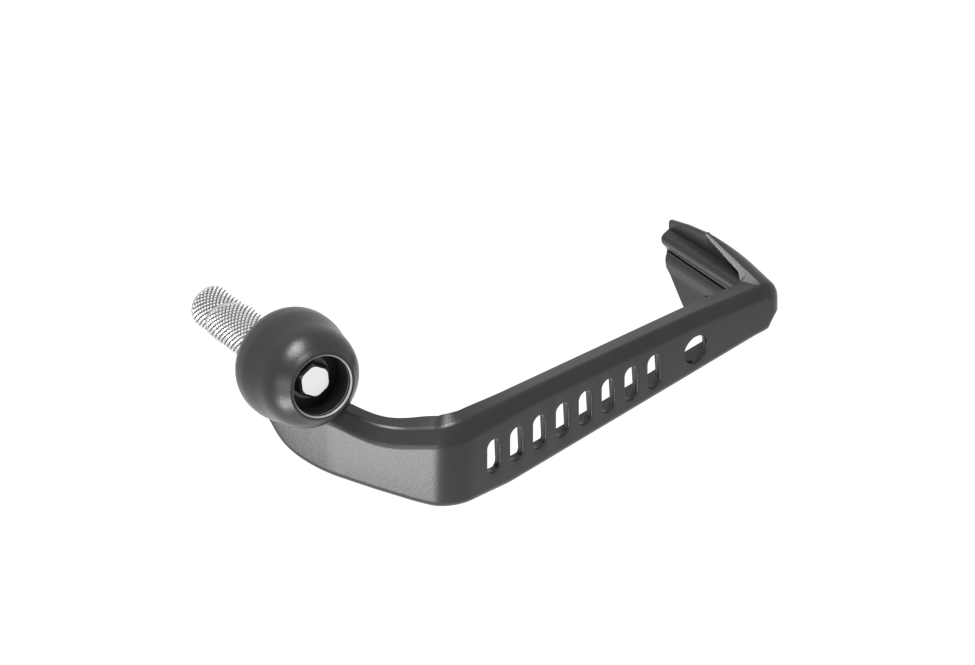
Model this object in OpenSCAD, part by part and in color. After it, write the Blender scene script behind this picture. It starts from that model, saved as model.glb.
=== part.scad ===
// Brake lever guard for a motorcycle handlebar end.
// Frame: X runs outboard along the handlebar, Y forward, Z up. The origin is the
// centre of the bulb's rear face, where it seats on the end of the handlebar.

/* [Bulb] */
// Largest diameter of the moulded bulb
bulb_d = 34.4; // [33:0.2:37]
// Length of the bulb from its rear face to its front rim
bulb_len = 25.8; // [24.5:0.2:28]
// Diameter of the counterbore for the bolt head
well_d = 18.6; // [17:0.2:19.4]
// Depth of the counterbore below the front rim
well_depth = 10; // [8:0.5:12]
// Rounding of the counterbore's rim
rim_r = 0.8; // [0.4:0.1:1.2]
// Depth of the recess that centres the knurled sleeve
socket_depth = 2; // [1:0.5:4]
// Diameter of the sleeve's spigot in that recess
spigot_d = 12; // [11:0.5:12.5]

/* [Handlebar insert] */
// Diameter over the knurl, for a handlebar of 14 mm bore and a little over
insert_d = 14; // [13:0.5:16]
// Diameter of the wedge nut at the free end
nut_d = 13.2; // [12:0.2:14]
// Length of the insert behind the bulb's rear face
insert_len = 46; // [44:1:60]
// Distance from the rear face to the middle of the diagonal cut
split_x = 31.5; // [27:0.5:34]
// Angle of the diagonal cut from square
split_angle = 34; // [25:1:38]
// Turn of the diagonal cut about the handlebar
split_turn = 10; // [0:5:45]
// Chamfer at the edges of the insert
insert_chamfer = 0.6; // [0.3:0.1:1]

/* [Bolt and washer] */
// Thread diameter of the clamp bolt
bolt_d = 6; // [5:0.5:6.5]
// Width across flats of the bolt's head
hex_af = 10; // [8:0.5:11]
// Height of the bolt's head
hex_h = 4; // [3.5:0.1:5.5]
// Diameter of the washer
washer_d = 13.2; // [12:0.2:14.4]
// Thickness of the washer
washer_t = 1.2; // [1:0.1:2]
// Distance of the bolt's tip inside the wedge nut's free end
bolt_inset = 3; // [1:0.5:6]
// Radial clearance of the bolt in the washer, the guard and the sleeve
bolt_gap = 0.3; // [0.2:0.05:0.4]

/* [Strap] */
// Distance of the strap's outer face outboard of the arm's root
face_n = 47.4; // [44:0.2:50]
// Length of the strap from the bulb's axis to its end
strap_s = 151.5; // [148:0.5:156]
// Depth of the channel from its outer face to the edge of its flanges
channel_depth = 8; // [7:0.5:10]
// Wall of the channel
wall = 2.2; // [1.8:0.1:2.8]
// Rounding along the channel's outer edges
edge_r = 3; // [2:0.25:3.5]
// Radius of the bend between arm and strap
bend_r = 14; // [10:1:18]
// Radius of the corner at the strap's end
corner_r = 4.5; // [3.5:0.5:6]
// Turn of the strap towards the rider
yaw = 14.4; // [10:0.2:20]
// Lean of the strap's upper edge away from the handlebar
lean = 12.5; // [8:0.5:16]

/* [Arm] */
// Angle between the arm and the strap, seen from above
arm_angle = 58; // [54:1:62]
// Place of the crease between root and arm, outboard of the arm's root
crease_n = 15; // [14.4:0.2:15.6]
// Place of the crease along the strap's direction
crease_s = 2.5; // [2:0.1:3]
// Length of the root behind the crease
root_len = 18; // [16:0.5:20]

/* [Slots] */
// Number of upright slots in the strap
slot_count = 8; // [5:1:9]
// Width of a slot
slot_w = 4.8; // [3:0.2:5.4]
// Height of a slot
slot_h = 11.6; // [9:0.2:12.4]
// Spacing of the slots
slot_pitch = 9; // [8.4:0.2:9.4]
// Distance from the bulb's axis to the middle of the row of slots
slot_mid_s = 69; // [67:0.5:71]
// Diameter of the round opening beside the slots
eye_d = 8.4; // [6:0.2:10]
// Distance from the bulb's axis to the round opening
eye_s = 117; // [115:0.5:121]
// Height of the slots' middle line from the bulb's axis
slot_line = -26.2; // [-27:0.1:-25.6]

/* [End fin] */
// Reach of the fin's free end from the bulb's axis plane
fin_n = 4.5; // [2:0.5:10]
// Thickness of the fin's web
fin_t = 2.2; // [1.8:0.1:2.6]
// Height of the fin below its upper edge at the free end
fin_h = 30; // [24:1:32]

/* [Hidden] */
$fn = 96;

// Places worked out from the sizes above
insert_r = insert_d / 2;
fit_gap = 0.1;
face_gap = 0.05;
floor_x = bulb_len - well_depth;
head_x = floor_x + washer_t + face_gap;
bolt_len = head_x + insert_len - bolt_inset;
guard_x = 4.7;
bulb_r = bulb_d / 2;
seat_r = 0.79 * bulb_r; // outer radius of the rear face, and the space kept free for the handlebar behind it
seat_clear = 0.5;
bar_run = 20;
mouth_gap = 0.15;
past = 1; // run of a cutting solid past the face it cuts

// Arm and strap in plan: n is outboard of the face, s runs along the strap
arm_len = (face_n - crease_n) / sin(arm_angle);
bend_s = crease_s + arm_len * cos(arm_angle);
root_angle = arm_angle + 4;
root_x = 5; // solid core of the root inside the bulb: place, length and depth under the bulb's surface
root_run = 6;
root_inset = 4;
seam = 1; // space between the stations on either side of a bend
bend_run = bend_r * tan(arm_angle / 2);
corner_in = [face_n - corner_r, strap_s - corner_r];
bend_in = [face_n - bend_r, bend_s + bend_run];
corner_run = channel_depth + 2;
wall_end_n = 17.5;
wall_q = strap_s + 5;
pocket_r = 0.8;
pocket_in = [face_n - channel_depth - pocket_r, strap_s - channel_depth - pocket_r];
arc_steps = 8;
slot_steps = 8;

// Heights of the channel's edges along its path, as [distance, height]
top_edge = [[-57, -9], [-38, -10.5], [-33, -12.4], [-27, -14.7], [-21, -15.6], [-15, -15.2],
    [-8, -13.6], [0, -12.2], [12, -11.4], [35, -11], [55, -11.2], [118, -14.6], [strap_s, -17.4],
    [strap_s + 32, -15.4]];
bottom_edge = [[-57, -21], [-54, -25], [-50, -28.6], [-46, -31], [-42, -32.6], [-37, -33.9], [-25, -36.2],
    [-13, -38.5], [-5, -39.4], [8, -39.7], [42, -39.3], [118, -34], [strap_s, -32], [strap_s + 32, -32]];
top_drop = [[-57, 0], [-5, 0], [42, 2.2], [118, 2], [strap_s, 1.8], [strap_s + 32, 1]];
flange = [[-57, channel_depth], [strap_s, channel_depth],
    [strap_s + 10, channel_depth - 1.5], [strap_s + 32, wall + 2.4]];
web = [[-57, wall], [strap_s - 6, wall], [strap_s + 3, channel_depth - 2.4], [strap_s + 10, channel_depth - 2.3],
    [strap_s + 32, wall + 1.6]];
end_slant = [[strap_s - 30, 0], [strap_s - 4, 0.4]];
slant_start = -22;

// Direction of travel and direction into the channel at a heading
function along(h) = [sin(h), cos(h)];
function inward(h) = [-cos(h), sin(h)];

// Stations of the path, each [outer point, point at the channel's depth, distance]
function station(p, h, q) = [p, p + inward(h) * channel_depth, q];
function leg(p, h, q, len, steps) =
    [for (i = [0:steps]) station(p + along(h) * len * i / steps, h, q + len * i / steps)];
function arc(c, r, h0, h1, q0, q1) =
    [for (i = [0:arc_steps])
        let (f = i / arc_steps, h = h0 + (h1 - h0) * f) station(c - inward(h) * r, h, q0 + (q1 - q0) * f)];
function corner(c, r, c_in, r_in, q0, q1) =
    [for (i = [0:arc_steps])
        let (f = i / arc_steps, h = -90 * f) [c - inward(h) * r, c_in - inward(h) * r_in, q0 + (q1 - q0) * f]];

crease = [crease_n, crease_s];
root = crease - along(root_angle) * root_len;
face_s = bend_s + bend_run + seam;
path = concat(
    leg(root, root_angle, -arm_len - root_len, root_len - seam, 5),
    leg(crease, arm_angle, -arm_len, arm_len - bend_run - seam, 4),
    arc(bend_in, bend_r, arm_angle, 0, -bend_run, face_s - seam),
    leg([face_n, face_s], 0, face_s, strap_s - corner_run - face_s, 7),
    corner(corner_in, corner_r, pocket_in, pocket_r, strap_s - corner_r, wall_q - 2 * seam),
    leg([face_n - corner_run, strap_s], -90, wall_q, face_n - corner_run - wall_end_n, 3));

// Closed outline of the channel at one station, as [depth, height]
function round_corner(c, r, a0, a1, n) =
    [for (i = [0:n]) let (a = a0 + (a1 - a0) * i / n) c + r * [cos(a), sin(a)]];
function channel(q) =
    let (t1 = lookup(q, top_edge), t2 = lookup(q, bottom_edge), dt = lookup(q, top_drop),
        d = lookup(q, flange), w = lookup(q, web), r = edge_r, ri = 0.4)
    concat([[d, t1 - dt]],
        round_corner([r, t1 - r], r, 90, 180, 4),
        round_corner([r, t2 + r], r, 180, 270, 4),
        [[d, t2 + 0.8], [d, t2 + 0.8 + wall]],
        round_corner([w + ri, t2 + wall + 0.4 + ri], ri, 270, 180, 1),
        round_corner([w + ri, t1 - wall - ri], ri, 180, 90, 1),
        [[d, t1 - dt - wall]]);

// A point of an outline, placed at its station
function placed(st, p) =
    let (xy = st[0] + (st[1] - st[0]) * p[0] / channel_depth, slant = lookup(st[2], end_slant))
    [xy[0], xy[1] - slant * max(0, slant_start - p[1]), p[1]];

// Triangles that close the channel's end, by the outline's point numbers
end_cap = [[0, 1, 16], [0, 16, 17], [1, 2, 16], [2, 3, 16], [3, 15, 16], [3, 4, 15], [4, 5, 15], [5, 6, 15],
    [6, 14, 15], [6, 7, 14], [7, 8, 14], [8, 13, 14], [8, 9, 13], [9, 10, 13], [10, 12, 13], [10, 11, 12]];

module swept(stations) {
    rings = [for (st = stations) [for (p = channel(st[2])) placed(st, p)]];
    n = len(rings[0]);
    last = len(rings) - 1;
    polyhedron(
        points = [for (ring = rings) each ring],
        faces = concat(end_cap,
            [for (f = end_cap) [last * n + f[2], last * n + f[1], last * n + f[0]]],
            [for (i = [0:last - 1], j = [0:n - 1]) [i * n + j, (i + 1) * n + j, i * n + (j + 1) % n]],
            [for (i = [0:last - 1], j = [0:n - 1])
                [(i + 1) * n + j, (i + 1) * n + (j + 1) % n, i * n + (j + 1) % n]]),
        convexity = 10);
}

// The strap's own directions, turned and leaned from the handlebar's
module strap_frame() {
    translate([guard_x, 0, 0]) rotate([0, lean, 0]) rotate([0, 0, yaw]) children();
}

// Outline of the bulb, as [radius, distance from the rear face]
module bulb_outline() {
    polygon([[0, 0], [seat_r, 0], [bulb_r * 0.875, 0.4], [bulb_r * 0.94, 1.3],
        [bulb_r * 0.975, 2.6], [bulb_r * 0.995, 4], [bulb_r, 5.5], [bulb_r, 7.6], [bulb_r * 0.985, 9.4],
        [bulb_r * 0.968, 11], [bulb_r * 0.934, 14], [bulb_r * 0.91, 17], [bulb_r * 0.895, bulb_len - 7.4],
        [bulb_r * 0.867, bulb_len - 5.8], [bulb_r * 0.82, bulb_len - 4.2], [bulb_r * 0.75, bulb_len - 2.6],
        [bulb_r * 0.67, bulb_len - 1.2], [well_d / 2 + rim_r, bulb_len], [0, bulb_len]]);
}

// Material taken out of the bulb: counterbore, bolt hole, the sleeve's recess and the handlebar's space
module bulb_bores() {
    rotate([0, 90, 0]) {
        translate([0, 0, floor_x]) cylinder(d = well_d, h = well_depth + past);
        translate([0, 0, -past]) cylinder(d = bolt_d + 2 * bolt_gap, h = bulb_len);
        translate([0, 0, -past]) cylinder(d = spigot_d + 2 * fit_gap, h = socket_depth + past);
        translate([0, 0, -past]) cylinder(r = insert_r + mouth_gap, h = past);
        cylinder(r1 = insert_r + mouth_gap, r2 = spigot_d / 2, h = insert_r + mouth_gap - spigot_d / 2);
        translate([0, 0, -bar_run]) cylinder(r = seat_r + seat_clear, h = bar_run);
    }
}

// Solid root that carries the channel under the bulb
module arm_root() {
    hull() {
        rotate([0, 90, 0]) translate([0, 0, root_x]) cylinder(r = bulb_r - root_inset, h = root_run, $fn = 32);
        strap_frame() {
            root_slab(path[0]);
            root_slab(path[3]);
        }
    }
}
module root_slab(st) {
    t1 = lookup(st[2], top_edge);
    t2 = lookup(st[2], bottom_edge);
    unit = (st[1] - st[0]) / channel_depth;
    p = st[0] + unit * edge_r;
    translate([p[0], p[1], t2 + edge_r]) cylinder(r = edge_r - 0.5, h = t1 - t2 - 2 * edge_r, $fn = 16);
    q = st[0] + unit * (channel_depth - 1);
    translate([q[0], q[1], t2 + 2]) cylinder(r = 1, h = t1 - t2 - 4, $fn = 16);
}

// Wavy section of the fin, as [place along the strap, height]
fin_top = -13;
fin_low = fin_top - 34;
wave_mid = -22;
wave_half = 4;
function fin_face(t) =
    fin_s - (abs(t - wave_mid) < wave_half ? wave_depth * pow(cos(90 * (t - wave_mid) / wave_half), 2) : 0)
        + (t > wave_mid ? 1.2 * min(1, (t - wave_mid) / wave_half) : 0);
wave_depth = 2.6;
fin_s = strap_s - 6.6;
module fin() {
    heights = [for (i = [0:44]) fin_low + (fin_top - fin_low) * i / 44];
    section = concat([for (t = heights) [fin_face(t), t]],
        [for (i = [44:-1:0]) [fin_face(heights[i]) + fin_t, heights[i]]]);
    intersection() {
        translate([face_n - corner_r, 0, 0]) rotate([90, 0, -90])
            linear_extrude(face_n - corner_r - fin_n) mirror([1, 0]) polygon(section);
        translate([0, strap_s + 5, 0]) rotate([90, 0, 0]) linear_extrude(30)
            polygon([[fin_n, -17.2], [fin_n - 0.5, -18.4], [fin_n, fin_top - 18], [fin_n + 9, fin_top - fin_h - 3],
                [fin_n + 12, fin_top - fin_h - 2.5], [face_n - 4, -32], [face_n, -32], [face_n, -18.4],
                [wall_end_n, -14.6], [wall_end_n - 2, -14.4]]);
    }
}

// Outline of a slot with round ends
function obround(w, h) =
    [for (i = [0:2 * slot_steps + 1])
        let (up = i <= slot_steps, a = 180 * (i - (up ? 0 : 1)) / slot_steps)
        w / 2 * [cos(a), sin(a)] + [0, (up ? 1 : -1) * (h - w) / 2]];

// Upright slots and the round opening, cut square to the strap's face
module slots() {
    first = slot_mid_s - slot_pitch * (slot_count - 1) / 2;
    translate([face_n - wall - 2, 0, slot_line]) rotate([90, 0, 90]) linear_extrude(wall + 4) {
        for (i = [0:slot_count - 1]) translate([first + slot_pitch * i, 0]) polygon(obround(slot_w, slot_h));
        translate([eye_s, 0]) circle(d = eye_d, $fn = 48);
    }
}

module guard() {
    color("#2b2b2d") difference() {
        union() {
            rotate([0, 90, 0]) rotate_extrude() bulb_outline();
            arm_root();
            strap_frame() {
                swept(path);
                fin();
            }
        }
        strap_frame() slots();
        bulb_bores();
    }
}

module washer() {
    color("silver") translate([floor_x, 0, 0]) rotate([0, 90, 0]) difference() {
        cylinder(d = washer_d, h = washer_t);
        translate([0, 0, -past]) cylinder(d = bolt_d + 2 * bolt_gap, h = washer_t + 2 * past);
    }
}

module clamp_bolt() {
    color("gainsboro") rotate([0, 90, 0]) {
        translate([0, 0, head_x]) intersection() {
            cylinder(d = hex_af / cos(30), h = hex_h, $fn = 6);
            rotate_extrude() polygon([[0, 0], [hex_af * 0.6, 0], [hex_af * 0.6, hex_h - 0.6],
                [hex_af * 0.47, hex_h], [0, hex_h]]);
        }
        translate([0, 0, head_x - bolt_len]) cylinder(d = bolt_d, h = bolt_len + hex_h / 2);
    }
}

// Round bar of the insert, from the bulb's rear face to the free end
module insert_bar(r) {
    c = insert_chamfer;
    translate([-insert_len, 0, 0]) rotate([0, 90, 0]) rotate_extrude()
        polygon([[0, 0], [r - c, 0], [r, c], [r, insert_len - c], [r - c, insert_len], [0, insert_len]]);
}

// Round solid on the axis that cuts the bolt's way through the insert
module bolt_way(d) {
    translate([-insert_len - past, 0, 0]) rotate([0, 90, 0]) cylinder(d = d, h = insert_len + socket_depth + past);
}

// Half space beyond the diagonal cut; side is 1 towards the bulb, -1 away from it
module beyond_split(side) {
    big = 4 * insert_d;
    translate([-split_x, 0, 0]) rotate([split_turn, 0, 0]) rotate([0, 0, -split_angle])
        translate([side > 0 ? face_gap : -big - face_gap, -big, -big]) cube([big, 2 * big, 2 * big]);
}

module insert_sleeve() {
    color("lightgray") difference() {
        union() {
            intersection() {
                insert_bar(insert_r);
                beyond_split(1);
            }
            translate([-past, 0, 0]) rotate([0, 90, 0])
                cylinder(d = spigot_d, h = socket_depth - face_gap + past);
        }
        bolt_way(bolt_d + 2 * bolt_gap);
    }
}

module wedge_nut() {
    color("lightgray") difference() {
        intersection() {
            insert_bar(nut_d / 2);
            beyond_split(-1);
        }
        bolt_way(bolt_d + fit_gap);
    }
}

guard();
washer();
clamp_bolt();
insert_sleeve();
wedge_nut();
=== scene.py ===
"""Brake lever guard: looks, camera and light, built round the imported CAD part.

Lengths are in mm and become metres by MM when a mesh is made. The strap has directions of its own:
n points away from the handlebar, s runs along the strap and t points up.
"""
import math

import bmesh
import bpy
from mathutils import Matrix, Vector


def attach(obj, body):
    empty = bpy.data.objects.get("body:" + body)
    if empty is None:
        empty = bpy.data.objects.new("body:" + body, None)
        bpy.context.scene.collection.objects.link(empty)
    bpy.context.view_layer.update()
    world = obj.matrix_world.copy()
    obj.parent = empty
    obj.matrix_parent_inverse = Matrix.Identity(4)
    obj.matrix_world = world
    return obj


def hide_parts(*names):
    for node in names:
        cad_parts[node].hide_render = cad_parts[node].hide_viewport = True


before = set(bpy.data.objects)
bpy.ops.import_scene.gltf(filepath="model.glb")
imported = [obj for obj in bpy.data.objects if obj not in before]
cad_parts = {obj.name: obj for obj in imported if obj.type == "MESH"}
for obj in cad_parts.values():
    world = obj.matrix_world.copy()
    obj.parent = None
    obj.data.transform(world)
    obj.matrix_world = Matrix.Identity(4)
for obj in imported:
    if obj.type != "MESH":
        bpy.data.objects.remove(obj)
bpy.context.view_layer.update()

MM = 0.001

# Bulb, with the well for the bolt's head and the socket for the sleeve
BULB_R, BULB_LEN = 17.17, 25.8
WELL_R, WELL_FLOOR, RIM_R = 9.3, 15.8, 0.8
SHANK_HOLE_R, SPIGOT_R, SOCKET_DEPTH = 3.3, 6.1, 2.0
# The bulb is filled up to BULB_PLUG under its mouth, and cutters reach past what they cut by OVERLAP
BULB_PLUG, OVERLAP, CURVE_STEPS = 1.5, 1, 4
# The bulb's outside as (share of its radius, distance from the rear face) and then from the front face
BULB_REAR = [(0.79, 0), (0.875, 0.4), (0.94, 1.3), (0.975, 2.6), (0.995, 4), (1, 5.5), (1, 7.6),
             (0.985, 9.4), (0.968, 11), (0.934, 14), (0.91, 17)]
BULB_FRONT = [(0.895, 7.4), (0.867, 5.8), (0.82, 4.2), (0.75, 2.6), (0.67, 1.2)]

# Insert: the sleeve and the wedge nut, their diagonal cut, the knurl and the plain bands at their ends
INSERT_R, NUT_R, INSERT_LEN = 7.0, 6.6, 46.0
SLEEVE_HOLE_R, NUT_HOLE_R, SLEEVE_END, NUT_KNURL_SHIFT = 3.3, 3.05, -0.02, 0.3
SPLIT_X, SPLIT_ANGLE, SPLIT_TURN, SPLIT_HALF_GAP = 31.5, 34.0, 10.0, 0.05
KNURL_COUNT, KNURL_PITCH, KNURL_DEPTH, STUD_EDGE, STUD_SLOPE = 26, 2.0, 0.5, 0.72, 0.24
BAND, BAND_RISE, BAND_DROP, BAND_TONE, END_BREAK = 0.9, 0.25, 0.12, 0.5, 0.3
STUD_STEPS, BAR_ROWS = 12, 230

# Clamp bolt
HEAD_X, HEAD_H, HEX_AF, HEAD_BLANK_R = 17.05, 4.0, 10.0, 6
HEAD_TOP_R, HEAD_TOP, HEAD_CHAMFER = 4.55, 0.86, 0.9
BOLT_R, BOLT_TIP, BOLT_TIP_BREAK = 3.0, -43.0, 0.4
# Faces where the cosine of their normal to the bolt's axis is over this keep the zinc; the others get the darker
# zinc as painted shade
LIT_FACE_COSINE = 0.95

# Segments round the revolved forms, and the angles from which a piece's edges are sharp
BULB_SEGMENTS, BORE_SEGMENTS, HEAD_SEGMENTS, SHANK_SEGMENTS = 160, 96, 96, 64
GUARD_SHARP, INSERT_SHARP, BOLT_SHARP = 21, 50, 25

# Plan of the guard: root under the bulb, arm, bend and strap; stations keep SEAM away from the legs' corners
GUARD_X, YAW, LEAN = 4.65, 14.4, 12.5
FACE_N, STRAP_S, BEND_R, CORNER_R = 47.4, 151.47, 14.0, 4.5
ARM_ANGLE, ROOT_TURN, CREASE_N, CREASE_S, ROOT_LEN, SEAM = 58.0, 4, 15.0, 2.5, 21.0, 1.0
ROOT_ANGLE = ARM_ANGLE + ROOT_TURN
ARM_LEN = (FACE_N - CREASE_N) / math.sin(math.radians(ARM_ANGLE))
PLAN_START = -ARM_LEN - ROOT_LEN
CHANNEL_END = 142.5
ROOT_STATIONS, ARM_STATIONS, BEND_STATIONS, STRAP_STATIONS = 40, 30, 32, 70

# Section of the channel; its heights are means over a stretch of the path, shorter for the lower edge
EDGE_REACH, LOW_REACH = 5.0, 2
DEPTH, WALL, EDGE_R, INSIDE_R, LIP = 8.0, 2.2, 3.0, 0.8, 0.5
TOP_DRAFT, LOW_DRAFT, LOW_RISE, LOW_FILL = 0.15, 0.1, 0.8, 0.4
BEVEL_RATIO, BEVEL_TOP, BEVEL_FACE = 0.70, 0.9, 1.2
BEHIND_BEVEL = (1.2, 1.5)
BEVEL_STEPS, EDGE_STEPS, INSIDE_STEPS = 8, 10, 4
NOSE, NOSE_FLAT = 1.6, 0.72
# Solid root under the bulb: a core in the bulb and two slabs in the channel
CORE_R, CORE_X, SLAB_PLACES = BULB_R - 7, (1, 3), (10, 14)
CORE_STEPS, POST_STEPS = 64, 24
# A slab's two round ends: depth in the channel, radius, and how far they stay from its lower and upper edge
SLAB_POSTS = [(EDGE_R + 2.2, EDGE_R - 1.0, EDGE_R + 2, EDGE_R + 1), (DEPTH - 2, 1, 3, 2)]

# Heights along the channel's path, as (distance, value)
TOP_EDGE = [(-60, -8), (-38, -10.5), (-33, -12.4), (-27, -14.7), (-21, -15.4), (-15, -14.6), (-8, -12.9),
            (0, -12.1), (15, -11.5), (30, -11.0), (55, -11.2), (118, -14.6), (142, -17.2)]
INNER_EDGE = [(-60, -8), (-38, -10.5), (-33, -12.6), (-28, -14.4), (-24, -15.1), (-20, -14.8),
              (-15, -13.3), (-11, -12.0), (-8, -11.1), (0, -10.5), (15, -10.2), (30, -10.2), (45, -11.6),
              (118, -15.6), (142, -17.7)]
BOTTOM_EDGE = [(-60, -15.6), (-58.5, -17.8), (-57, -20.6), (-54, -26.2), (-50, -29.8), (-46, -32.0),
               (-42, -33.6), (-37, -34.9), (-25, -37.3), (-13, -39.3), (-8, -39.8), (0, -39.7), (8, -39.6),
               (30, -39.5), (37, -39.8), (44, -40.2), (118, -35.4), (142, -33.8)]
BEVEL_HEIGHT = [(-60, 3.6), (-33, 4.6), (25, 4.8), (50, 3.6), (142, 3.2)]

# Through openings in the strap's face
SLOT_COUNT, SLOT_W, SLOT_H, SLOT_PITCH, SLOT_MID_S, SLOT_LINE = 8, 4.8, 11.6, 9.0, 69.0, -26.2
EYE_D, EYE_S, MOUTH_R = 9.0, 117.0, 0.45
# The stretch keeps the two halves of the round opening's outline apart
EYE_STRETCH, SLOT_STEPS, EYE_STEPS = 0.002, 14, 24
# An opening at the strap's inside, as (distance from the inside face, how much wider)
FLARE = [(-3, 0.3), (0, 0.3), (0.25, 0.05), (0.4, 0)]

# Tip: a fin stands across the channel's end, and from WALL_N outwards it is the end wall. The channel's
# top flange starts at FLANGE_N, FLANGE_T
FIN_N, FIN_T, WALL_N, WALL_STEP = 4.5, 2.2, 21.2, 0.02
FLANGE_N, FLANGE_T, FOOT_N, TIP_LOW = FACE_N - DEPTH, -17.6, FACE_N - 4, -33.8
FIN_COLUMNS, WALL_COLUMNS, CORNER_COLUMNS = 30, 44, 16
# Edges of the fin as (n, t), and its rear face as (t, s)
FIN_TOP_EDGE = [(FIN_N, -16.2), (12, -13.8), (20.5, -11.9), (WALL_N, -11.5)]
FIN_LOW = [(FIN_N, -32.6), (11.2, -43.2), (13.7, -46.0), (18, -46.0), (FOOT_N, TIP_LOW), (FACE_N, TIP_LOW)]
FIN_PROFILE = [(-48, 144.3), (-34, 144.3), (-32, 143.95), (-30, 143.6), (-28.5, 143.7), (-27, 144.15),
               (-25.8, 144.15), (-25, 143.85), (-24, 143.1), (-22.8, 142.3), (-21.3, 142.0),
               (-20.5, 142.15), (-19.9, 142.6), (-19.5, 143.5)]
# Top of the tip: the slanted facet from its inner edge, as (n, s), over the mitre line to the ridge
MITRE_S, MITRE_SLOPE, MITRE_GAP, MITRE_SHARE = 141.4, 0.52, 0.3, 0.3
FACET_INNER = [(FIN_N, 145.0), (WALL_N, 144.1), (36.9, 143.0), (FLANGE_N, MITRE_S)]
RIDGE_S, RIDGE_T, RIDGE_FALL, FACET_RISE = 144.8, -16.07, 0.247, 0.449
CREST_S, CREST_T, CREST_DROP, CREST_WIDTH = 0.7, 0.1, 0.3, 0.8
INNER_BREAK_S, INNER_BREAK_T = 0.06, 0.01
# Rear face: the neck over the bead, the groove under it, and the heights where the rows change
NECK_T, NECK_S, NECK_GAIN = -19.0, 145.0, 0.03
GROOVE_T, GROOVE_FALL, GROOVE_W, GROOVE_DEPTH, GROOVE_RUN_IN = -26.1, 0.028, 0.8, 1.3, 1.5
GROOVE_STEP, LOW_ROWS_T, LOW_ROWS_H, NECK_END = 0.02, -31.0, 1.0, 0.1
LOW_ROWS, BEAD_ROWS, UPPER_ROWS, NECK_ROWS = 14, 12, 24, 8
# The end wall joins the strap's face from JOIN_N on, its nose falls back and its lower part leans
JOIN_N, JOIN_LEN, NOSE_N, NOSE_CURVE = 40, 1.2, 36, 0.025
TIP_LOW_R, LEAN_T, TIP_LEAN, LEAST_WALL = 3.0, -28.0, 0.75, 1.2
# Foot: its height, its least width, and its outside edge as (inwards, upwards) on the wall and the fin
FOOT_H, FOOT_WIDTH, FOOT_STEP, WALL_ROWS, FOOT_ROWS = 1.0, 1.4, 0.25, 30, 10
WALL_FOOT, FIN_FOOT = [(0.3, 0.3), (1.0, 0)], [(0, 0.6), (0, 0.3), (0, 0)]
LOW_BREAK_S, LOW_BREAK_T = 0.35, 0.15

# Looks: colours are linear; a grain is (scale per metre, detail) and a bump is (depth in metres, strength)
PLASTIC, PLASTIC_DARK, PLASTIC_LIGHT = (0.014, 0.014, 0.0145), (0.012, 0.012, 0.0125), (0.016, 0.016, 0.0165)
PLASTIC_ROUGHNESS, PLASTIC_SMOOTHEST, PLASTIC_ROUGHEST, PLASTIC_SPECULAR = 0.31, 0.29, 0.34, 0.42
PLASTIC_GRAIN, PLASTIC_CLOUDS, PLASTIC_BUMP = (2600, 2), (90, 3), (0.00006, 0.5)
GRAIN_LOW, GRAIN_HIGH = 0.3, 0.7
ZINC_DARK, ZINC_LIGHT, ZINC_ROUGHNESS = (0.74, 0.74, 0.74), (0.86, 0.86, 0.86), 0.42
# A darker copy of the zinc, which is painted shade: the washer in the well wears it, and so do the bolt's faces
# that turn away from its axis
SHADE_ZINC_DARK, SHADE_ZINC_LIGHT, SHADE_ZINC_ROUGHNESS = (0.10, 0.10, 0.10), (0.17, 0.17, 0.17), 0.5
STEEL_GRAIN, STEEL_BUMP = (3000, 3), (0.00003, 0.4)
# The insert's grooves get a near-black tone, which is painted shade
ALUMINIUM, KNURL_GROOVE_SHADE, STUD_TONE = (0.86, 0.86, 0.87), (0.04, 0.04, 0.042), (0.74, 0.74, 0.75)
ALUMINIUM_ROUGHNESS, ALUMINIUM_GRAIN, ALUMINIUM_BUMP = 0.34, (2200, 3), (0.00002, 0.4)

# Painted highlight rings at the well's mouth, standing in for the rim catching the light: radius, half width,
# place along X, half width, weight
RIM_HIGHLIGHT_RINGS = [(9.55, 0.26, 25.6, 0.5, 1.0), (9.3, 0.4, 24.3, 0.2, 0.5)]
# Their tone, and the share of a half width that has the full weight
RIM_HIGHLIGHT_TONE, HIGHLIGHT_CORE = (0.36, 0.36, 0.36), 0.6

# Camera, from the photograph, and light, in metres; the floor's height and reach are in mm
RIGHT = Vector((0.45456, 0.88501, -0.10068))
UP = Vector((-0.32597, 0.27048, 0.90586))
TOWARD = Vector((0.82893, -0.37895, 0.41144))
AIM = Vector((0.024765, 0.054905, 0.000676))
VIEW_WIDTH, CAMERA_DISTANCE, CLIP_END = 0.28426, 1.2, 10
WORLD_LEVEL, FLOOR_HEIGHT, FLOOR_REACH, FLOOR_GLOW, FLOOR_TONE = 0.14, -620, 3000, 0.92, 0.8
LAMP_DISTANCE = 0.7
# Name, direction from the object, diameter in metres, level
LAMPS = [("low_soft_box", (0.29, -0.74, -0.60), 0.28, 0.62),
         ("side_soft_box", (0.42, -0.88, -0.06), 0.34, 0.22),
         ("top_soft_box", (0.25, -0.33, 0.91), 0.36, 1.10),
         ("back_soft_box", (0.02, -0.19, 0.98), 0.20, 0.30)]


# ---------------------------------------------------------------- numbers and lines

def clamp(value, least=0):
    """The value, kept between the least one and 1."""
    return min(max(value, least), 1)


def steps(start, end, count, first=0):
    """Even steps from start to end; first=1 leaves the start out."""
    return [start + (end - start) * k / count for k in range(first, count + 1)]


def lookup(table, q):
    """Value of a table at q, straight between its entries."""
    if q <= table[0][0]:
        return table[0][1]
    for (q0, v0), (q1, v1) in zip(table, table[1:]):
        if q <= q1:
            return v0 + (v1 - v0) * (q - q0) / (q1 - q0)
    return table[-1][1]


def smooth(table, q, reach=EDGE_REACH, count=10):
    """Mean of the table round q, which rounds its corners and never leaves its range."""
    return sum(lookup(table, q + reach * (2 * (i + 0.5) / count - 1)) for i in range(count)) / count


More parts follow.
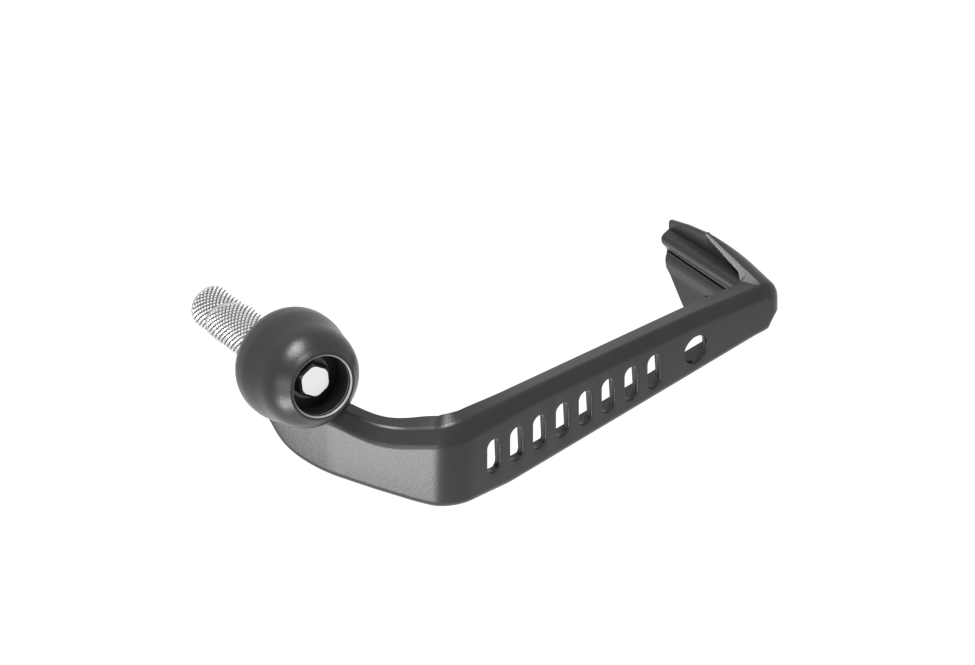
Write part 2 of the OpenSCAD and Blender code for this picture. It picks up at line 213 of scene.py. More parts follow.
def spline(points, count):
    """Catmull-Rom line through the points."""
    out = []
    for i in range(len(points) - 1):
        near = (points[max(i - 1, 0)], points[i], points[i + 1], points[min(i + 2, len(points) - 1)])
        for k in range(count):
            t = k / count
            out.append(tuple(0.5 * (2 * b + (c - a) * t + (2 * a - 5 * b + 4 * c - d) * t * t
                                    + (3 * b - a - 3 * c + d) * t ** 3)
                             for a, b, c, d in zip(*near)))
    return out + [points[-1]]


def round_corner(c, r, a0, a1, n):
    """Arc round a centre, from one angle to another."""
    return [(c[0] + r * math.cos(math.radians(a0 + (a1 - a0) * i / n)),
             c[1] + r * math.sin(math.radians(a0 + (a1 - a0) * i / n))) for i in range(n + 1)]


def eased(before, corner, after, reach, n):
    """Corner of a polygon drawn as a curve that starts and ends at a distance from it."""
    a, b, c = Vector(before), Vector(corner), Vector(after)
    start, end = b + (a - b).normalized() * reach, b + (c - b).normalized() * reach
    return [tuple(start * (1 - k / n) ** 2 + b * 2 * (1 - k / n) * k / n + end * (k / n) ** 2)
            for k in range(n + 1)]


# ---------------------------------------------------------------- meshes

def new_mesh(name, points, faces, mat=None):
    """A mesh object from points in mm."""
    mesh = bpy.data.meshes.new(name)
    mesh.from_pydata([[c * MM for c in p] for p in points], [], faces)
    bm = bmesh.new()
    bm.from_mesh(mesh)
    bmesh.ops.recalc_face_normals(bm, faces=bm.faces)
    bm.to_mesh(mesh)
    bm.free()
    for polygon in mesh.polygons:
        polygon.use_smooth = True
    obj = bpy.data.objects.new(name, mesh)
    bpy.context.scene.collection.objects.link(obj)
    if mat:
        mesh.materials.append(mat)
    return obj


def loft(rings, caps=True):
    """Faces between closed rings of equal length."""
    n = len(rings[0])
    points = [p for ring in rings for p in ring]
    faces = []
    for i in range(len(rings) - 1):
        for j in range(n):
            k = (j + 1) % n
            faces.append((i * n + j, (i + 1) * n + j, (i + 1) * n + k, i * n + k))
    if caps:
        faces.append(tuple(range(n)))
        faces.append(tuple(len(points) - n + j for j in range(n - 1, -1, -1)))
    return points, faces


def revolve(outline, segments):
    """Solid of revolution about X from (radius, x) pairs that start and end on the axis."""
    points, faces, rows = [], [], []
    for r, x in outline:
        if r == 0:
            rows.append([len(points)])
            points.append((x, 0, 0))
        else:
            rows.append(list(range(len(points), len(points) + segments)))
            points += [(x, r * math.cos(2 * math.pi * k / segments), r * math.sin(2 * math.pi * k / segments))
                       for k in range(segments)]
    for a, b in zip(rows, rows[1:]):
        for k in range(segments):
            quad = [a[k % len(a)], a[(k + 1) % len(a)], b[(k + 1) % len(b)], b[k % len(b)]]
            quad = [v for i, v in enumerate(quad) if v not in quad[:i]]
            if len(quad) > 2:
                faces.append(tuple(quad))
    return points, faces


def combine(obj, other, operation):
    """Boolean of two closed meshes, applied; the second one is removed."""
    modifier = obj.modifiers.new("boolean", "BOOLEAN")
    modifier.operation, modifier.object, modifier.solver = operation, other, "MANIFOLD"
    graph = bpy.context.evaluated_depsgraph_get()
    mesh = bpy.data.meshes.new_from_object(obj.evaluated_get(graph), depsgraph=graph)
    obj.modifiers.clear()
    old, obj.data = obj.data, mesh
    bpy.data.meshes.remove(old)
    bpy.data.objects.remove(other)


def wear(mesh, materials):
    """Gives a mesh these materials and no others."""
    mesh.materials.clear()
    for mat in materials:
        mesh.materials.append(mat)


def sharpen(mesh, angle):
    """Makes the edges sharp whose faces meet at more than the angle."""
    mesh.set_sharp_from_angle(angle=math.radians(angle))


# ---------------------------------------------------------------- materials

def principled(name, color, metallic, roughness, specular=0.5):
    """New material, its node tree and its shader."""
    mat = bpy.data.materials.new(name)
    mat.use_nodes = True
    shader = mat.node_tree.nodes["Principled BSDF"]
    shader.inputs["Base Color"].default_value = (*color, 1)
    shader.inputs["Metallic"].default_value = metallic
    shader.inputs["Roughness"].default_value = roughness
    shader.inputs["Specular IOR Level"].default_value = specular
    return mat, mat.node_tree, shader


def noise(tree, coords, scale, detail):
    """Noise in the object's own coordinates."""
    node = tree.nodes.new("ShaderNodeTexNoise")
    node.inputs["Scale"].default_value = scale
    node.inputs["Detail"].default_value = detail
    tree.links.new(coords.outputs["Object"], node.inputs["Vector"])
    return node.outputs["Fac"]


def map_range(tree, source, from_min, from_max, to_min=0.0, to_max=1.0):
    """The source brought from one range to another and kept inside it."""
    node = tree.nodes.new("ShaderNodeMapRange")
    for socket, value in (("From Min", from_min), ("From Max", from_max), ("To Min", to_min), ("To Max", to_max)):
        node.inputs[socket].default_value = value
    tree.links.new(source, node.inputs["Value"])
    return node.outputs["Result"]


def math_node(tree, operation, a, b=0.0):
    """Math node whose inputs are sockets or numbers."""
    node = tree.nodes.new("ShaderNodeMath")
    node.operation = operation
    for socket, value in zip(node.inputs, (a, b)):
        if isinstance(value, (int, float)):
            socket.default_value = value
        else:
            tree.links.new(value, socket)
    return node.outputs[0]


def grain_bump(tree, shader, source, distance, strength):
    """Bumps that follow the source."""
    bump = tree.nodes.new("ShaderNodeBump")
    bump.inputs["Distance"].default_value = distance
    bump.inputs["Strength"].default_value = strength
    tree.links.new(source, bump.inputs["Height"])
    tree.links.new(bump.outputs["Normal"], shader.inputs["Normal"])


def tone(tree, shader, source, dark, light):
    """Base colour that the source mixes from two tones."""
    mix = tree.nodes.new("ShaderNodeMix")
    mix.data_type = "RGBA"
    mix.inputs["A"].default_value = (*dark, 1)
    mix.inputs["B"].default_value = (*light, 1)
    tree.links.new(source, mix.inputs["Factor"])
    tree.links.new(mix.outputs["Result"], shader.inputs["Base Color"])
    return mix


def within(tree, source, middle, half):
    """1 up to a share of the half width from the middle, falling to 0 at the half width."""
    distance = math_node(tree, "ABSOLUTE", math_node(tree, "SUBTRACT", source, middle))
    return map_range(tree, distance, half, half * HIGHLIGHT_CORE)


def painted_rim_highlight(tree, shader, coords, base):
    """Painted highlight: brings a narrow ring at the mouth of the well, and a fainter one inside it, to a
    brighter tone, in place of the light on the rim.
    """
    axis = tree.nodes.new("ShaderNodeSeparateXYZ")
    tree.links.new(coords.outputs["Object"], axis.inputs[0])
    flat = tree.nodes.new("ShaderNodeCombineXYZ")
    tree.links.new(axis.outputs["Y"], flat.inputs["Y"])
    tree.links.new(axis.outputs["Z"], flat.inputs["Z"])
    radius = tree.nodes.new("ShaderNodeVectorMath")
    radius.operation = "LENGTH"
    tree.links.new(flat.outputs[0], radius.inputs[0])
    total = 0.0
    for r_mid, r_half, x_mid, x_half, weight in RIM_HIGHLIGHT_RINGS:
        near = within(tree, radius.outputs["Value"], r_mid * MM, r_half * MM)
        level = within(tree, axis.outputs["X"], x_mid * MM, x_half * MM)
        ring = math_node(tree, "MULTIPLY", math_node(tree, "MULTIPLY", near, level), weight)
        total = math_node(tree, "ADD", ring, total)
    mix = tone(tree, shader, total, RIM_HIGHLIGHT_TONE, RIM_HIGHLIGHT_TONE)
    tree.links.new(base.outputs["Result"], mix.inputs["A"])


def moulded_plastic():
    """Black glass-filled plastic with a fine mould grain, and a painted highlight round the well's mouth."""
    mat, tree, shader = principled("moulded_plastic", PLASTIC, 0.0, PLASTIC_ROUGHNESS, PLASTIC_SPECULAR)
    coords = tree.nodes.new("ShaderNodeTexCoord")
    fine, broad = noise(tree, coords, *PLASTIC_GRAIN), noise(tree, coords, *PLASTIC_CLOUDS)
    base = tone(tree, shader, broad, PLASTIC_DARK, PLASTIC_LIGHT)
    roughness = map_range(tree, fine, GRAIN_LOW, GRAIN_HIGH, PLASTIC_SMOOTHEST, PLASTIC_ROUGHEST)
    tree.links.new(roughness, shader.inputs["Roughness"])
    grain_bump(tree, shader, fine, *PLASTIC_BUMP)
    # Painted highlight round the well's mouth
    painted_rim_highlight(tree, shader, coords, base)
    return mat


def steel(name, dark, light, roughness):
    """Plated or bare steel, with a grain between its two tones."""
    mat, tree, shader = principled(name, light, 1.0, roughness)
    grain = noise(tree, tree.nodes.new("ShaderNodeTexCoord"), *STEEL_GRAIN)
    tone(tree, shader, grain, dark, light)
    grain_bump(tree, shader, grain, *STEEL_BUMP)
    return mat


def insert_aluminium():
    """Bright on the studs, greyer on the plain bands and dark in the grooves, by the height attribute; the dark
    in the grooves is painted shade.
    """
    mat, tree, shader = principled("insert_aluminium", ALUMINIUM, 1.0, ALUMINIUM_ROUGHNESS)
    grain = noise(tree, tree.nodes.new("ShaderNodeTexCoord"), *ALUMINIUM_GRAIN)
    height = tree.nodes.new("ShaderNodeAttribute")
    height.attribute_name = "knurl"
    tone(tree, shader, height.outputs["Fac"], KNURL_GROOVE_SHADE, STUD_TONE)
    # The grooves also lose their metal, which deepens the painted shade in them
    tree.links.new(height.outputs["Fac"], shader.inputs["Metallic"])
    grain_bump(tree, shader, grain, *ALUMINIUM_BUMP)
    return mat


# ---------------------------------------------------------------- guard: channel

def strap_matrix():
    """From the strap's own directions to the handlebar's, in mm."""
    return (Matrix.Translation((GUARD_X, 0, 0)) @ Matrix.Rotation(math.radians(LEAN), 4, "Y")
            @ Matrix.Rotation(math.radians(YAW), 4, "Z"))


def in_handlebar_frame(mesh):
    """A mesh in the strap's own directions, brought to the handlebar's."""
    matrix = strap_matrix()
    return [tuple(matrix @ Vector(p)) for p in mesh[0]], mesh[1]


def along(h):
    """Direction of a leg of the plan that is turned by h from the strap's direction."""
    return Vector((math.sin(math.radians(h)), math.cos(math.radians(h))))


def inward(h):
    """Direction from such a leg's outside into the channel."""
    return Vector((-math.cos(math.radians(h)), math.sin(math.radians(h))))


def root_start():
    """Where the channel starts under the bulb, as (n, s)."""
    return Vector((CREASE_N, CREASE_S)) - along(ROOT_ANGLE) * ROOT_LEN


def plan_path():
    """Stations of the channel, each (outer point, point at the channel's depth, distance)."""
    bend_s = CREASE_S + ARM_LEN * math.cos(math.radians(ARM_ANGLE))
    run = BEND_R * math.tan(math.radians(ARM_ANGLE / 2))
    bend_q = bend_s + 2 * run
    stations = []

    def leg(p, h, q, length, count):
        for i in range(count + 1):
            at = p + along(h) * length * i / count
            stations.append((at, at + inward(h) * DEPTH, q + length * i / count))

    leg(root_start(), ROOT_ANGLE, PLAN_START, ROOT_LEN - SEAM, ROOT_STATIONS)
    leg(Vector((CREASE_N, CREASE_S)) + along(ARM_ANGLE) * SEAM, ARM_ANGLE, -ARM_LEN + SEAM,
        ARM_LEN - run - 2 * SEAM, ARM_STATIONS)
    centre = Vector((FACE_N - BEND_R, bend_s + run))
    # The bend is shorter than the distance it stands for: the heights run evenly in and out of it
    even = BEND_R * math.radians(ARM_ANGLE) / bend_q
    for f in steps(0, 1, BEND_STATIONS):
        h = ARM_ANGLE * (1 - f)
        at = centre - inward(h) * BEND_R
        way = even * f + (3 - 3 * even) * f * f - (2 - 2 * even) * f ** 3
        stations.append((at, at + inward(h) * DEPTH, -run + bend_q * way))
    face_s = bend_s + run + SEAM
    leg(Vector((FACE_N, face_s)), 0, face_s, CHANNEL_END - face_s, STRAP_STATIONS)
    return stations


def channel(q):
    """Closed outline of the channel at one station, as (depth, height)."""
    t1, t2 = smooth(TOP_EDGE, q), smooth(BOTTOM_EDGE, q, LOW_REACH)
    ti, h = smooth(INNER_EDGE, q), smooth(BEVEL_HEIGHT, q)
    d, w, r, ri = DEPTH, WALL, EDGE_R, INSIDE_R
    top, low = (h * BEVEL_RATIO, t1), (0, t1 - h)
    shift, drop = BEHIND_BEVEL
    return ([(d - TOP_DRAFT, ti - LIP), (d - LIP, ti)]
            + eased((d - LIP, ti), top, low, BEVEL_TOP, BEVEL_STEPS)
            + eased(top, low, (0, t2 + r), BEVEL_FACE, BEVEL_STEPS)
            + round_corner((r, t2 + r), r, 180, 270, EDGE_STEPS)
            + [(d - LIP, t2 + LOW_RISE), (d, t2 + LOW_RISE + LIP), (d - LOW_DRAFT, t2 + LOW_RISE + WALL)]
            + round_corner((w + ri, t2 + WALL + LOW_FILL + ri), ri, 270, 180, INSIDE_STEPS)
            + round_corner((w + ri + shift, t1 - WALL - ri - drop), ri, 180, 90, INSIDE_STEPS)
            + [(d - LOW_DRAFT, ti - WALL)])


def strap_point(station, p):
    """Point of the channel in space; its first millimetres are drawn in to a round nose."""
    outer, inner, q = station
    start = max(NOSE - (q - PLAN_START), 0) / NOSE
    k = NOSE_FLAT + (1 - NOSE_FLAT) * math.sqrt(max(1 - start * start, 0))
    middle = (lookup(TOP_EDGE, q) + lookup(BOTTOM_EDGE, q)) / 2
    depth, height = DEPTH / 2 + (p[0] - DEPTH / 2) * k, middle + (p[1] - middle) * k
    xy = outer + (inner - outer) * depth / DEPTH
    return xy[0], xy[1], height


def strap_mesh():
    """The channel, swept along its path."""
    return loft([[strap_point(station, p) for p in channel(station[2])] for station in plan_path()])


def obround(w, h, count):
    """Upright outline with two straight sides and two half rounds."""
    points = [(w / 2 * math.cos(math.pi * i / count), w / 2 * math.sin(math.pi * i / count) + (h - w) / 2)
              for i in range(count + 1)]
    return points + [(-x, -y) for x, y in points]


def cutter(place_s, w, h, count):
    """Cutting solid for one opening, with a mouth that rounds the edge it leaves in the face."""
    profile = [(depth - WALL, wider) for depth, wider in FLARE]
    profile += [(-MOUTH_R + MOUTH_R * math.sin(a), MOUTH_R * (1 - math.cos(a)))
                for a in (math.radians(15 * k) for k in range(7))]
    profile += [(OVERLAP, MOUTH_R)]
    return loft([[(FACE_N + depth, place_s + x, SLOT_LINE + y) for x, y in obround(w + 2 * o, h + 2 * o, count)]
                 for depth, o in profile])


def openings_mesh():
    """Cutting solids of the row of slots and of the round opening after it."""
    first = SLOT_MID_S - SLOT_PITCH * (SLOT_COUNT - 1) / 2
    parts = [cutter(first + SLOT_PITCH * i, SLOT_W, SLOT_H, SLOT_STEPS) for i in range(SLOT_COUNT)]
    parts.append(cutter(EYE_S, EYE_D, EYE_D + EYE_STRETCH, EYE_STEPS))
    points, faces = [], []
    for p, f in parts:
        faces += [tuple(v + len(points) for v in face) for face in f]
        points += p
    return points, faces


# ---------------------------------------------------------------- guard: tip

def tip_outer(n):
    """Plan curve of the tip's outside: the strap's round corner, then a nose that falls back inboard."""
    corner_n = FACE_N - CORNER_R
    if n > corner_n:
        return STRAP_S - CORNER_R + math.sqrt(max(CORNER_R ** 2 - (n - corner_n) ** 2, 0))
    return STRAP_S - NOSE_CURVE * max(NOSE_N - n, 0) ** 2


def rounded_fall(n, r):
    """How far a rounded edge at the face has fallen at n."""
    d = max(n - (FACE_N - r), 0)
    return r - math.sqrt(max(r * r - d * d, 0))


def bevel_fall(n):
    """How far the channel's bevel has fallen at n, at the channel's end."""
    h = BEVEL_HEIGHT[-1][1]
    top, low = (h * BEVEL_RATIO, 0), (0, -h)
    line = eased((DEPTH, 0), top, low, BEVEL_TOP, BEVEL_STEPS)
    line += eased(top, low, (0, -2 * h), BEVEL_FACE, BEVEL_STEPS)
    return -lookup(line[::-1], FACE_N - n)


def groove_height(n):
    """Middle of the groove, which falls outwards."""
    return GROOVE_T - GROOVE_FALL * (n - FIN_N)


def fin_rear(n, t, top_s, top_t):
    """Rear face of the fin: a long round bead with a neck over it and a narrow groove under it."""
    neck = NECK_S + NECK_GAIN * (n - FIN_N)
    if abs(t - groove_height(n)) < GROOVE_W / 2:
        return lookup(FIN_PROFILE, t) + GROOVE_DEPTH * clamp((n - FIN_N) / GROOVE_RUN_IN, 0.1)
    if t < NECK_T:
        return lookup(FIN_PROFILE + [(NECK_T, neck)], t)
    return neck + (top_s - neck) * (t - NECK_T) / (top_t - NECK_T)


def rear_heights(n, low, inner_t):
    """Heights of the points of the rear face, with a close pair at each edge of the groove."""
    groove, half, step = groove_height(n), GROOVE_W / 2, GROOVE_STEP
    below = LOW_ROWS_T if low < LOW_ROWS_T - LOW_ROWS_H else low + LOW_ROWS_H
    neck_t = min(NECK_T, inner_t - 1)
    return ([low + LOW_BREAK_T]
            + steps(low, below, LOW_ROWS, 1)
            + steps(below, groove - half - step, BEAD_ROWS, 1)
            + [groove - half + step, groove + half - step]
            + steps(groove + half + step, neck_t, UPPER_ROWS)
            + steps(neck_t, inner_t - NECK_END, NECK_ROWS, 1))


def facet(n):
    """Inner edge, mitre line and ridge of the tip's top at n, each as (along, height)."""
    fall, inner_s = bevel_fall(n), lookup(FACET_INNER, n)
    if n > WALL_N:
        ridge_s, ridge_t = RIDGE_S, RIDGE_T - RIDGE_FALL * (n - FLANGE_N) - fall
        inner_t = ridge_t - FACET_RISE * (ridge_s - inner_s)
    else:
        ridge_s, ridge_t = inner_s + CREST_S, lookup(FIN_TOP_EDGE, n) + CREST_T
        inner_t = ridge_t - CREST_DROP
    if n > FLANGE_N:
        inner_t = FLANGE_T - fall
        mitre = (min(MITRE_S + MITRE_SLOPE * (n - FLANGE_N), ridge_s - MITRE_GAP), inner_t)
    else:
        mitre_s = inner_s + MITRE_SHARE * (ridge_s - inner_s)
        mitre = (mitre_s, inner_t + FACET_RISE * (mitre_s - inner_s))
    return (inner_s, inner_t), mitre, (ridge_s, ridge_t)


def tip_ring(n):
    """Closed section of the tip at one distance across the strap, as (along, height)."""
    on_wall = n > WALL_N
    (inner_s, inner_t), mitre, (ridge_s, ridge_t) = facet(n)
    foot = TIP_LOW + rounded_fall(n, TIP_LOW_R)
    low = lookup(FIN_LOW, n) if n < FOOT_N else foot - FOOT_STEP
    join = clamp((n - JOIN_N) / JOIN_LEN)
    outer = max(tip_outer(n) if on_wall else inner_s + FIN_T, ridge_s + CREST_WIDTH)
    r = outer - ridge_s

    def rear(t):
        return fin_rear(n, t, inner_s, inner_t) * (1 - join) + MITRE_S * join

    def outside(t):
        if on_wall:
            return max(outer - TIP_LEAN * max(LEAN_T - t, 0), rear(t) + LEAST_WALL)
        return rear(t) + FIN_T

    ring = [(rear(t), t) for t in rear_heights(n, low, inner_t)]
    ring[0] = (ring[0][0] + LOW_BREAK_S, ring[0][1])
    ring += [(inner_s + INNER_BREAK_S, inner_t - INNER_BREAK_T), mitre, (ridge_s, ridge_t)]
    ring += [(ridge_s + r * math.sin(a), ridge_t - r + r * math.cos(a))
             for a in (math.radians(15 * k) for k in range(1, 7))]
    ring += [(outside(t), t) for t in steps(ridge_t - r, foot + FOOT_H, WALL_ROWS, 1)]
    edge = outside(foot + FOOT_H)
    ring += [(edge - inwards, foot + up) for inwards, up in (WALL_FOOT if on_wall else FIN_FOOT)]
    if on_wall:
        ring.append((min(lookup(FIN_PROFILE, foot) + FIN_T, edge - FOOT_WIDTH), foot))
    ring += [(ring[-1][0], t) for t in steps(foot, low + LOW_BREAK_T, FOOT_ROWS, 1)]
    ring[-1] = (ring[-1][0] - LOW_BREAK_S, ring[-1][1])
    return ring


def tip_mesh():
    """Fin, end wall and corner in one solid, lofted across the strap."""
    corner_n = FACE_N - CORNER_R
    columns = steps(FIN_N, WALL_N, FIN_COLUMNS) + steps(WALL_N + WALL_STEP, corner_n, WALL_COLUMNS)
    columns += [corner_n + CORNER_R * math.sin(math.radians(a)) for a in steps(0, 90, CORNER_COLUMNS, 1)]
    return loft([[(n, s, t) for s, t in tip_ring(n)] for n in columns])


# ---------------------------------------------------------------- guard: root and bulb

def slab_points(back):
    """Points round a slab that stands across the channel, inside its walls."""
    matrix, q = strap_matrix(), PLAN_START + back
    outer = root_start() + along(ROOT_ANGLE) * back
    t1, t2 = lookup(TOP_EDGE, q), lookup(BOTTOM_EDGE, q)
    points = []
    for depth, radius, over, under in SLAB_POSTS:
        centre = outer + inward(ROOT_ANGLE) * depth
        for a in (2 * math.pi * k / POST_STEPS for k in range(POST_STEPS)):
            for z in (t2 + over, t1 - under):
                points.append(tuple(matrix @ Vector((centre[0] + radius * math.cos(a),
                                                     centre[1] + radius * math.sin(a), z))))
    return points


def root_mesh():
    """Solid root that carries the channel under the bulb: the hull of a core in the bulb and two slabs."""
    points = [(x, CORE_R * math.cos(a), CORE_R * math.sin(a))
              for x in CORE_X for a in (2 * math.pi * k / CORE_STEPS for k in range(CORE_STEPS))]
    for back in SLAB_PLACES:
        points += slab_points(back)
    bm = bmesh.new()
    for p in points:
        bm.verts.new(p)
    hull = bmesh.ops.convex_hull(bm, input=bm.verts)
    bmesh.ops.delete(bm, geom=hull["geom_interior"], context="VERTS")
    bm.verts.index_update()
    mesh = [tuple(v.co) for v in bm.verts], [tuple(v.index for v in f.verts) for f in bm.faces]
    bm.free()
    return mesh


def bulb_mesh():
    """The bulb, filled to just under its mouth, where the well is cut afterwards."""
    outline = [(share * BULB_R, x) for share, x in BULB_REAR]
    outline += [(share * BULB_R, BULB_LEN - x) for share, x in BULB_FRONT]
    # The rim turns from 40 degrees outside the top of its round to 90 degrees inside it, at the well's wall
    rim = [(WELL_R + RIM_R * (1 - math.sin(a)), BULB_LEN - RIM_R * (1 - math.cos(a)))
           for a in (math.radians(10 * k) for k in range(-4, 10))]
    plug = [(WELL_R, BULB_LEN - RIM_R), (WELL_R, BULB_LEN - BULB_PLUG), (0, BULB_LEN - BULB_PLUG)]
    return revolve([(0, 0)] + spline(outline, CURVE_STEPS) + rim + plug, BULB_SEGMENTS)


def guard(plastic):
    """The one moulding: channel with its openings, tip, root, and the bulb with its bores."""
    mouth, inside = BULB_LEN + OVERLAP, WELL_FLOOR + OVERLAP
    well = [(0, WELL_FLOOR), (WELL_R, WELL_FLOOR), (WELL_R, mouth), (0, mouth)]
    way = [(0, -OVERLAP), (SPIGOT_R, -OVERLAP), (SPIGOT_R, SOCKET_DEPTH), (SHANK_HOLE_R, SOCKET_DEPTH),
           (SHANK_HOLE_R, inside), (0, inside)]
    strap = new_mesh("guard_skin", *in_handlebar_frame(strap_mesh()))
    for name, mesh, operation in (("openings", in_handlebar_frame(openings_mesh()), "DIFFERENCE"),
                                  ("tip", in_handlebar_frame(tip_mesh()), "UNION"),
                                  ("root", root_mesh(), "UNION"),
                                  ("bulb", bulb_mesh(), "UNION"),
                                  ("well", revolve(well, BULB_SEGMENTS), "DIFFERENCE"),
                                  ("way", revolve(way, BORE_SEGMENTS), "DIFFERENCE")):
        combine(strap, new_mesh(name, *mesh), operation)
    wear(strap.data, [plastic])
    for polygon in strap.data.polygons:
        polygon.use_smooth = True
        polygon.material_index = 0
    sharpen(strap.data, GUARD_SHARP)
    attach(strap, "root")
    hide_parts("guard")


# ---------------------------------------------------------------- insert and bolt

def split_plane_x(y, z, side):
    """x of the diagonal cut at a place; side is 1 for the sleeve's face and -1 for the nut's."""
    turn, slope = math.radians(SPLIT_TURN), math.tan(math.radians(SPLIT_ANGLE))
    gap = SPLIT_HALF_GAP / math.cos(math.radians(SPLIT_ANGLE))
    return -SPLIT_X + slope * (math.cos(turn) * y + math.sin(turn) * z) + side * gap


def sleeve_ends(y, z):
    """x of the sleeve's two ends at a place: the diagonal cut and the end in the bulb's socket."""
    return split_plane_x(y, z, 1), SLEEVE_END


def nut_ends(y, z):
    """x of the nut's two ends at a place: the free end and the diagonal cut."""
    return -INSERT_LEN, split_plane_x(y, z, -1)


def knurl(x, angle, shift):
    """Height of the diamond knurl, from 0 in a groove to 1 on a stud."""
    u, v = angle * KNURL_COUNT / (2 * math.pi), x / KNURL_PITCH + shift
    a, b = abs((u + v) % 1 - 0.5) * 2, abs((u - v) % 1 - 0.5) * 2
    h = clamp((STUD_EDGE - max(a, b)) / STUD_SLOPE)
    return h * h * (3 - 2 * h)


def knurled_bar(name, radius, hole, ends, mat, shift):
    """Knurled tube about X. ends(y, z) gives its two ends' x at a place; the knurl stops short of them."""
    segments = KNURL_COUNT * STUD_STEPS
    angles = [2 * math.pi * k / segments for k in range(segments)]
    rows, heights = [], []
    for i in range(BAR_ROWS + 1):
        row = []
        for a in angles:
            x0, x1 = ends(radius * math.cos(a), radius * math.sin(a))
            x = x0 + (x1 - x0) * (i / BAR_ROWS)
            from_end = min(x - x0, x1 - x)
            mix = clamp((from_end - BAND) / BAND_RISE)
            stud = 1 - (1 - knurl(x, a, shift)) * mix
            r = radius - BAND_DROP * (1 - mix) - KNURL_DEPTH * (1 - stud) - max(0, END_BREAK - from_end)
            row.append((x, r * math.cos(a), r * math.sin(a)))
            heights.append(stud - BAND_TONE * (1 - mix))
        rows.append(row)
    for which in (1, 0):
        places = [(hole * math.cos(a), hole * math.sin(a)) for a in angles]
        rows.append([(ends(y, z)[which], y, z) for y, z in places])
        heights += [1 - BAND_TONE] * segments
    points, faces = loft(rows + [rows[0]], caps=False)
    last = len(rows) * segments
    faces = [tuple(v - last if v >= last else v for v in face) for face in faces]
    obj = new_mesh(name, points[:last], faces, mat)
    # Knurl height as an attribute; the material turns its low values into painted shade in the grooves
    attribute = obj.data.attributes.new("knurl", "FLOAT", "POINT")
    attribute.data.foreach_set("value", heights)
    return obj


def insert(aluminium):
    """Sleeve and wedge nut, which meet at the diagonal cut."""
    sleeve = knurled_bar("knurled_sleeve", INSERT_R, SLEEVE_HOLE_R, sleeve_ends, aluminium, 0.0)
    nut = knurled_bar("knurled_wedge_nut", NUT_R, NUT_HOLE_R, nut_ends, aluminium, NUT_KNURL_SHIFT)
    for obj, node in ((sleeve, "insert_sleeve"), (nut, "wedge_nut")):
        sharpen(obj.data, INSERT_SHARP)
        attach(obj, "root")
        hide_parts(node)


def bolt(bright_steel, painted_shade_steel):
    """Hex bolt: its head stands on the washer in the well and its shank runs through to the wedge nut."""
    top, shoulder = HEAD_X + HEAD_H, HEAD_X + HEAD_H - HEAD_CHAMFER
    blank = [(0, HEAD_X), (HEAD_BLANK_R, HEAD_X), (HEAD_BLANK_R, shoulder), (HEAD_TOP_R, top), (0, top)]
    corner = HEX_AF / 2 / math.cos(math.radians(30))
    corners = [(corner * math.cos(math.radians(60 * k)), corner * math.sin(math.radians(60 * k)))
               for k in range(6)]
    prism = [[(x, b * k, a * k) for a, b in corners]
             for x, k in ((HEAD_X, 1), (top - HEAD_CHAMFER, 1), (top, HEAD_TOP))]
    shank = [(0, BOLT_TIP), (BOLT_R - BOLT_TIP_BREAK, BOLT_TIP), (BOLT_R, BOLT_TIP + BOLT_TIP_BREAK),
             (BOLT_R, HEAD_X + OVERLAP), (0, HEAD_X + OVERLAP)]
    head = new_mesh("clamp_bolt_skin", *revolve(blank, HEAD_SEGMENTS))
    combine(head, new_mesh("hexagon", *loft(prism)), "INTERSECT")
    combine(head, new_mesh("shank", *revolve(shank, SHANK_SEGMENTS)), "UNION")
    wear(head.data, [bright_steel, painted_shade_steel])
    # Faces that turn away from the bolt's axis get the darker zinc: painted shade on the head's sides and the
    # shank
    for polygon in head.data.polygons:
        polygon.material_index = 0 if polygon.normal.x > LIT_FACE_COSINE else 1
    sharpen(head.data, BOLT_SHARP)
    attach(head, "root")
    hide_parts("clamp_bolt")


# ---------------------------------------------------------------- stage

def camera():
    """Parallel view from the photograph's side."""
    data = bpy.data.cameras.new("camera")
    data.type = "ORTHO"
    data.ortho_scale = VIEW_WIDTH
    data.clip_end = CLIP_END
    obj = bpy.data.objects.new("camera", data)
    bpy.context.scene.collection.objects.link(obj)
    rotation = Matrix((RIGHT, UP, TOWARD)).transposed().to_4x4()
    obj.matrix_world = Matrix.Translation(AIM + TOWARD * CAMERA_DISTANCE) @ rotation
    bpy.context.scene.camera = obj


def lamp(name, direction, size, level):
    """Round soft light that gives the object the irradiance level * pi, which renders a colour times level."""
    data = bpy.data.lights.new(name, "AREA")
    data.shape, data.size = "DISK", size
    data.energy = level * math.pi * math.pi * LAMP_DISTANCE * LAMP_DISTANCE
    obj = bpy.data.objects.new(name, data)
    bpy.context.scene.collection.objects.link(obj)
    way = Vector(direction).normalized()
    obj.matrix_world = (Matrix.Translation(AIM + way * LAMP_DISTANCE)
                        @ way.to_track_quat("Z", "Y").to_matrix().to_4x4())


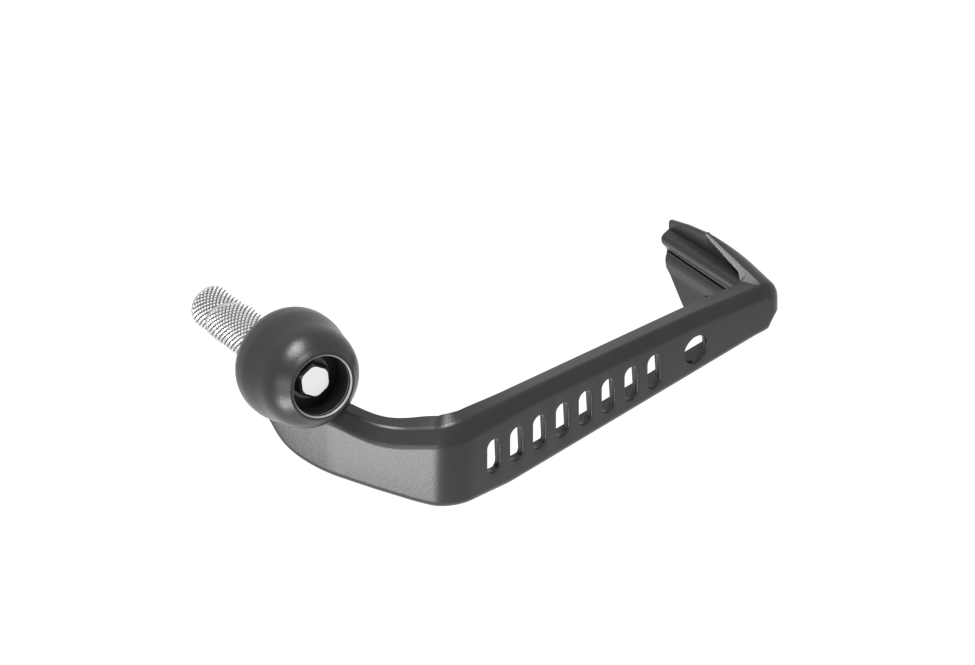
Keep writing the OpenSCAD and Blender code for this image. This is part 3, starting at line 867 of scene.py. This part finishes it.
def background_rays(tree):
    """1 for rays that show the background: camera, glossy and transmission."""
    path = tree.nodes.new("ShaderNodeLightPath")
    total = path.outputs["Is Camera Ray"]
    for name in ("Is Glossy Ray", "Is Transmission Ray"):
        total = math_node(tree, "MAXIMUM", total, path.outputs[name])
    return total


def white_world():
    """White to look at and in reflections, and a weak even light on the object."""
    world = bpy.data.worlds.new("studio")
    bpy.context.scene.world = world
    world.use_nodes = True
    tree = world.node_tree
    strength = map_range(tree, background_rays(tree), 0.0, 1.0, WORLD_LEVEL, 1.0)
    sky = tree.nodes["Background"]
    sky.inputs["Color"].default_value = (1, 1, 1, 1)
    tree.links.new(strength, sky.inputs["Strength"])


def floor():
    """Floor far below; a glow brings it to white for the rays that show the background."""
    mat = bpy.data.materials.new("floor_white")
    mat.use_nodes = True
    tree = mat.node_tree
    tree.nodes.clear()
    out = tree.nodes.new("ShaderNodeOutputMaterial")
    diffuse = tree.nodes.new("ShaderNodeBsdfDiffuse")
    diffuse.inputs["Color"].default_value = (FLOOR_TONE, FLOOR_TONE, FLOOR_TONE, 1)
    glow = tree.nodes.new("ShaderNodeEmission")
    tree.links.new(math_node(tree, "MULTIPLY", background_rays(tree), FLOOR_GLOW), glow.inputs["Strength"])
    add = tree.nodes.new("ShaderNodeAddShader")
    tree.links.new(diffuse.outputs[0], add.inputs[0])
    tree.links.new(glow.outputs[0], add.inputs[1])
    tree.links.new(add.outputs[0], out.inputs["Surface"])
    corners = [(x * FLOOR_REACH, y * FLOOR_REACH, FLOOR_HEIGHT) for x, y in ((-1, -1), (1, -1), (1, 1), (-1, 1))]
    obj = new_mesh("floor", corners, [(0, 1, 2, 3)], mat)


guard(moulded_plastic())
insert(insert_aluminium())
# Darker zinc as painted shade, for the washer and for the bolt's faces that turn away from its axis
painted_shade_zinc = steel("painted_shade_zinc", SHADE_ZINC_DARK, SHADE_ZINC_LIGHT, SHADE_ZINC_ROUGHNESS)
bolt(steel("zinc_steel", ZINC_DARK, ZINC_LIGHT, ZINC_ROUGHNESS), painted_shade_zinc)
wear(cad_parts["washer"].data, [painted_shade_zinc])

camera()
white_world()
floor()
for lamp_row in LAMPS:
    lamp(*lamp_row)
bpy.context.scene.view_settings.view_transform = "Standard"
